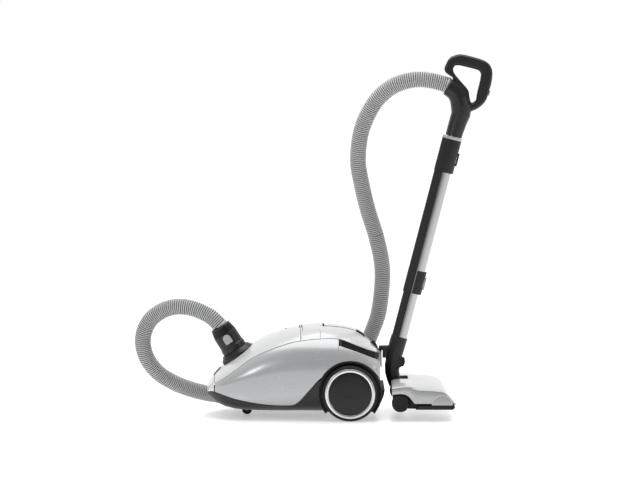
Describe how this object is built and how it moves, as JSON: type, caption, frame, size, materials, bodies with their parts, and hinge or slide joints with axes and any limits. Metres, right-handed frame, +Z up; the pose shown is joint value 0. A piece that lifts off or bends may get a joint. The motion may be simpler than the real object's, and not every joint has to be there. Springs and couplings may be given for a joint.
{
  "type": "canister vacuum cleaner",
  "caption": "Canister vacuum cleaner parked upright: wheeled body with hinged lid, ribbed suction hose, telescopic wand with grip loop, powered floor head",
  "frame": {"origin": "on the floor, at the middle of the cleaner's length and width measured without its hose", "axes": "+Z up; the body's nose points to -X and the parked wand leans to +X; +Y is the side the hose lies on"},
  "size_m": [0.86, 0.343, 0.866],
  "materials": {
    "white_gloss": "gloss",
    "light_grey_gloss": "gloss",
    "black_satin": "satin",
    "black_matte": "matte",
    "button_grey": "satin",
    "silver_trim": "satin",
    "chrome_tube": "polished",
    "steel": "satin",
    "tyre_rubber": "matte",
    "hose_grey": "satin",
    "bag_paper": "matte",
    "filter_fabric": "matte",
    "lens_green": "gloss",
    "bristle_black": "matte"
  },
  "bodies": {
    "canister": {"base_pan": "black_satin", "side_panel_left": "light_grey_gloss", "side_panel_right": "light_grey_gloss", "vent_grille_left": "black_matte", "vent_grille_right": "black_matte", "rear_deck": "white_gloss", "nose_cap": "white_gloss", "dock_bracket": "black_matte", "rear_bumper": "black_matte", "wheel_axle": "steel", "lid_hinge_pin": "steel", "bag_chamber": "black_matte", "dust_bag": "bag_paper", "motor_filter": "filter_fabric", "motor_housing": "black_matte", "motor_stator": "steel", "exhaust_filter": "filter_fabric", "reel_frame": "black_matte", "hose_front": "hose_grey", "hose_middle": "hose_grey"},
    "lid": {"lid_shell": "white_gloss", "inlet_ring": "black_satin", "indicator_lens": "lens_green"},
    "latch": {"latch_lever": "black_satin"},
    "cuff": {"hose_cuff": "black_satin"},
    "cuff_button": {"cuff_button": "button_grey"},
    "wheel_left": {"tyre_left": "tyre_rubber", "trim_ring_left": "silver_trim", "wheel_hub_left": "black_satin"},
    "wheel_right": {"tyre_right": "tyre_rubber", "trim_ring_right": "silver_trim", "wheel_hub_right": "black_satin"},
    "caster_fork": {"caster_fork": "black_matte"},
    "caster_wheel": {"caster_wheel": "tyre_rubber"},
    "motor_rotor": {"motor_rotor": "steel"},
    "cord_reel": {"cord_reel": "black_satin"},
    "power_pedal": {"power_pedal": "white_gloss"},
    "rewind_pedal": {"rewind_pedal": "white_gloss"},
    "carry_handle": {"carry_handle": "white_gloss"},
    "wand": {"neck_shell": "black_satin", "lower_tube": "chrome_tube", "lower_channel": "black_satin", "hose_upper": "hose_grey"},
    "neck_pedal": {"neck_pedal": "black_matte"},
    "upper_wand": {"upper_tube": "chrome_tube", "upper_channel": "black_satin", "mid_collar": "black_matte", "top_collar": "black_satin", "collar_ring": "light_grey_gloss", "handle": "black_satin"},
    "telescope_button": {"telescope_button": "button_grey"},
    "wand_button": {"wand_button": "black_matte"},
    "grip_switch": {"grip_switch": "button_grey"},
    "floor_head": {"head_cover": "white_gloss", "head_base": "black_matte", "brush_motor": "steel", "drive_belt": "tyre_rubber"},
    "motor_pulley": {"motor_pulley": "steel"},
    "brush_roll": {"brush_roll": "bristle_black"},
    "head_wheels": {"head_wheels": "tyre_rubber"}
  },
  "joints": [
    {"name": "lid_hinge", "type": "hinge", "parent": "canister", "child": "lid", "pos_m": [-0.1178, 0, 0.21279], "axis": [0, 1, 0], "range_deg": [0, 75], "deforming": ["hose_front"]},
    {"name": "latch_pivot", "type": "hinge", "parent": "canister", "child": "latch", "pos_m": [-0.325, 0, 0.09217], "axis": [0, -1, 0], "range_deg": [0, 25], "stiffness_Nm_per_rad": 0.3, "springref_deg": -8.59},
    {"name": "cuff_swivel", "type": "hinge", "parent": "lid", "child": "cuff", "pos_m": [-0.2688, 0, 0.1452], "axis": [-0.538, 0, 0.843], "continuous": true},
    {"name": "cuff_button_slide", "type": "slide", "parent": "cuff", "child": "cuff_button", "axis": [0, 1, 0], "range_m": [0, 0.0015], "stiffness_N_per_m": 400, "springref_m": -0.001},
    {"name": "wheel_axis_left", "type": "hinge", "parent": "canister", "child": "wheel_left", "pos_m": [0, 0.126, 0.066], "axis": [0, 1, 0], "continuous": true},
    {"name": "wheel_axis_right", "type": "hinge", "parent": "canister", "child": "wheel_right", "pos_m": [0, -0.126, 0.066], "axis": [0, 1, 0], "continuous": true},
    {"name": "caster_swivel", "type": "hinge", "parent": "canister", "child": "caster_fork", "pos_m": [-0.262, 0, 0.042], "axis": [0, 0, 1], "continuous": true},
    {"name": "caster_axle", "type": "hinge", "parent": "caster_fork", "child": "caster_wheel", "pos_m": [-0.247, 0, 0.012], "axis": [0, 1, 0], "continuous": true},
    {"name": "rotor_axis", "type": "hinge", "parent": "canister", "child": "motor_rotor", "pos_m": [-0.045, 0.036, 0.125], "axis": [1, 0, 0], "continuous": true},
    {"name": "reel_axis", "type": "hinge", "parent": "canister", "child": "cord_reel", "pos_m": [-0.028, -0.06, 0.122], "axis": [0, 1, 0], "continuous": true},
    {"name": "power_pedal_pivot", "type": "hinge", "parent": "canister", "child": "power_pedal", "pos_m": [-0.1115, 0.03675, 0.21461], "axis": [0, 1, 0], "range_deg": [0, 4], "stiffness_Nm_per_rad": 1, "springref_deg": -2.86},
    {"name": "rewind_pedal_pivot", "type": "hinge", "parent": "canister", "child": "rewind_pedal", "pos_m": [-0.1115, -0.03675, 0.21461], "axis": [0, 1, 0], "range_deg": [0, 4], "stiffness_Nm_per_rad": 1, "springref_deg": -2.86},
    {"name": "carry_handle_pivot", "type": "hinge", "parent": "canister", "child": "carry_handle", "pos_m": [-0.0565, 0, 0.21347], "axis": [0, -1, 0], "range_deg": [0, 70]},
    {"name": "dock_slide", "type": "slide", "parent": "canister", "child": "wand", "axis": [0, 0, 1], "range_m": [0, 0.12], "deforming": ["hose_middle"]},
    {"name": "neck_pedal_pivot", "type": "hinge", "parent": "wand", "child": "neck_pedal", "pos_m": [0.124, 0, 0.134], "axis": [0, 1, 0], "range_deg": [0, 8], "stiffness_Nm_per_rad": 0.6, "springref_deg": -2.86},
    {"name": "telescope_slide", "type": "slide", "parent": "wand", "child": "upper_wand", "axis": [0.2504, 0, 0.9681], "range_m": [0, 0.18], "deforming": ["hose_upper"]},
    {"name": "telescope_button_slide", "type": "slide", "parent": "upper_wand", "child": "telescope_button", "axis": [-0.9681, 0, 0.2504], "range_m": [0, 0.0015], "stiffness_N_per_m": 400, "springref_m": -0.001},
    {"name": "wand_button_slide", "type": "slide", "parent": "upper_wand", "child": "wand_button", "axis": [-0.9681, 0, 0.2504], "range_m": [0, 0.0012], "stiffness_N_per_m": 400, "springref_m": -0.001},
    {"name": "grip_switch_slide", "type": "slide", "parent": "upper_wand", "child": "grip_switch", "axis": [0.2536, 0, 0.9673], "range_m": [-0.004, 0.004]},
    {"name": "head_pivot", "type": "hinge", "parent": "wand", "child": "floor_head", "pos_m": [0.1195, 0, 0.042], "axis": [0, 1, 0], "range_deg": [0, 70]},
    {"name": "motor_pulley_axis", "type": "hinge", "parent": "floor_head", "child": "motor_pulley", "pos_m": [0.16, 0, 0.0665], "axis": [0, 1, 0], "continuous": true},
    {"name": "brush_axis", "type": "hinge", "parent": "floor_head", "child": "brush_roll", "pos_m": [0.212, 0, 0.0415], "axis": [0, 1, 0], "continuous": true},
    {"name": "head_wheel_axis", "type": "hinge", "parent": "floor_head", "child": "head_wheels", "pos_m": [0.1195, 0, 0.042], "axis": [0, 1, 0], "continuous": true}
  ],
  "couplings": [
    {"joint": "motor_pulley_axis", "follows": "brush_axis", "ratio": 1.6667}
  ]
}
